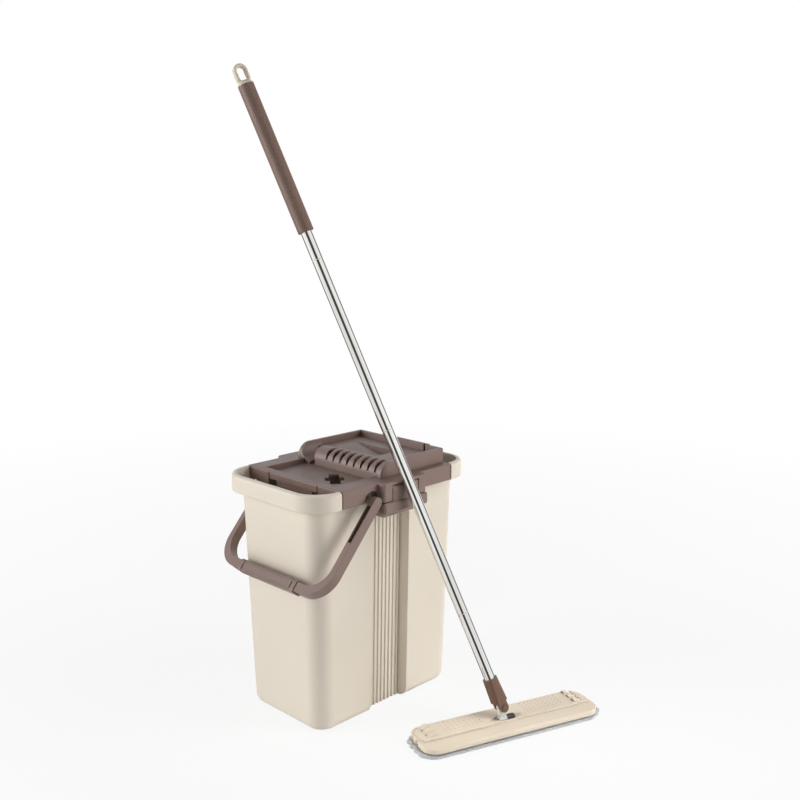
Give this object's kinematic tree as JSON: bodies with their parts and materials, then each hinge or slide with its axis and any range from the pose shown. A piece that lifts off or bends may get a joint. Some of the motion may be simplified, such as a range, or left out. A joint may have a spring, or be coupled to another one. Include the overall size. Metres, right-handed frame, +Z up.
{
  "type": "flat squeeze mop with wringer bucket",
  "caption": "Flat mop with a jointed pole leaning on a tall oblong bucket whose lid frame holds a washing slot, a squeezing slot and a folding bail.",
  "frame": {"origin": "middle of the bucket underside, on the floor", "axes": "+Z up; X along the bucket, the washing slot at -X and the squeezing slot at +X; the mop leans on the -Y side"},
  "size_m": [0.4176, 0.4961, 1.0249],
  "materials": {
    "cream_plastic": "satin",
    "brown_plastic": "satin",
    "wood_brown_plastic": "satin",
    "grip_brown": "satin",
    "beige_plastic": "satin",
    "white_plastic": "gloss",
    "black_plastic": "gloss",
    "dark_plastic": "matt",
    "polished_steel": "polished",
    "steel": "satin",
    "spring_steel": "satin",
    "grey_rubber": "matt",
    "pad_fabric": "microfibre pile"
  },
  "bodies": {
    "bucket": {"bucket_shell": "cream_plastic", "latch_keeper_front": "brown_plastic", "latch_keeper_back": "brown_plastic", "bail_post_front": "brown_plastic", "bail_post_back": "brown_plastic", "wringer_frame": "brown_plastic", "hood_cover": "brown_plastic", "louvre_grille": "brown_plastic", "wash_comb": "brown_plastic", "squeeze_rods": "steel", "squeeze_springs": "spring_steel", "lid_screws": "steel", "latch_pin_front": "steel", "latch_pin_back": "steel"},
    "latch_front": {"latch_flap_front": "brown_plastic"},
    "latch_back": {"latch_flap_back": "brown_plastic"},
    "bail": {"bail_handle": "brown_plastic", "bail_grip": "brown_plastic"},
    "squeezer": {"squeeze_bar": "brown_plastic", "squeeze_blade": "grey_rubber"},
    "mop_head": {"mop_pad": "pad_fabric", "plate_board": "dark_plastic", "plate_cover": "beige_plastic", "plate_screws": "steel", "pad_clips": "beige_plastic", "yoke_axle": "black_plastic"},
    "mop_yoke": {"swivel_yoke": "white_plastic"},
    "mop_pole": {"fork_socket": "wood_brown_plastic", "fork_pin": "wood_brown_plastic", "tube_lower": "polished_steel", "tube_middle": "polished_steel", "tube_upper": "polished_steel", "tube_top": "polished_steel", "tube_joints": "white_plastic", "grip_sleeve": "grip_brown", "hang_cap": "cream_plastic"}
  },
  "joints": [
    {"name": "latch_front_hinge", "type": "hinge", "parent": "bucket", "child": "latch_front", "pos_m": [0, -0.1245, 0.385], "axis": [-1, 0, 0], "range_deg": [0, 18]},
    {"name": "latch_back_hinge", "type": "hinge", "parent": "bucket", "child": "latch_back", "pos_m": [0, 0.1245, 0.385], "axis": [1, 0, 0], "range_deg": [0, 18]},
    {"name": "bail_hinge", "type": "hinge", "parent": "bucket", "child": "bail", "pos_m": [-0.0605, 0, 0.37], "axis": [0, 1, 0], "range_deg": [0, 138]},
    {"name": "squeeze_slide", "type": "slide", "parent": "bucket", "child": "squeezer", "axis": [-1, 0, 0], "range_m": [0, 0.006], "stiffness_N_per_m": 600, "springref_m": -0.002, "deforming": ["squeeze_springs"]},
    {"name": "mop_shift", "type": "slide", "parent": "bucket", "child": "mop_head", "axis": [0, -1, 0], "range_m": [0, 0.2]},
    {"name": "swivel_pitch", "type": "hinge", "parent": "mop_head", "child": "mop_yoke", "pos_m": [0.078, -0.2772, 0.0155], "axis": [0.9409, -0.3387, 0], "range_deg": [0, 54]},
    {"name": "swivel_roll", "type": "hinge", "parent": "mop_yoke", "child": "mop_pole", "pos_m": [0.07457, -0.27049, 0.03483], "axis": [0.3273, 0.9091, -0.2575], "range_deg": [0, 55]}
  ]
}
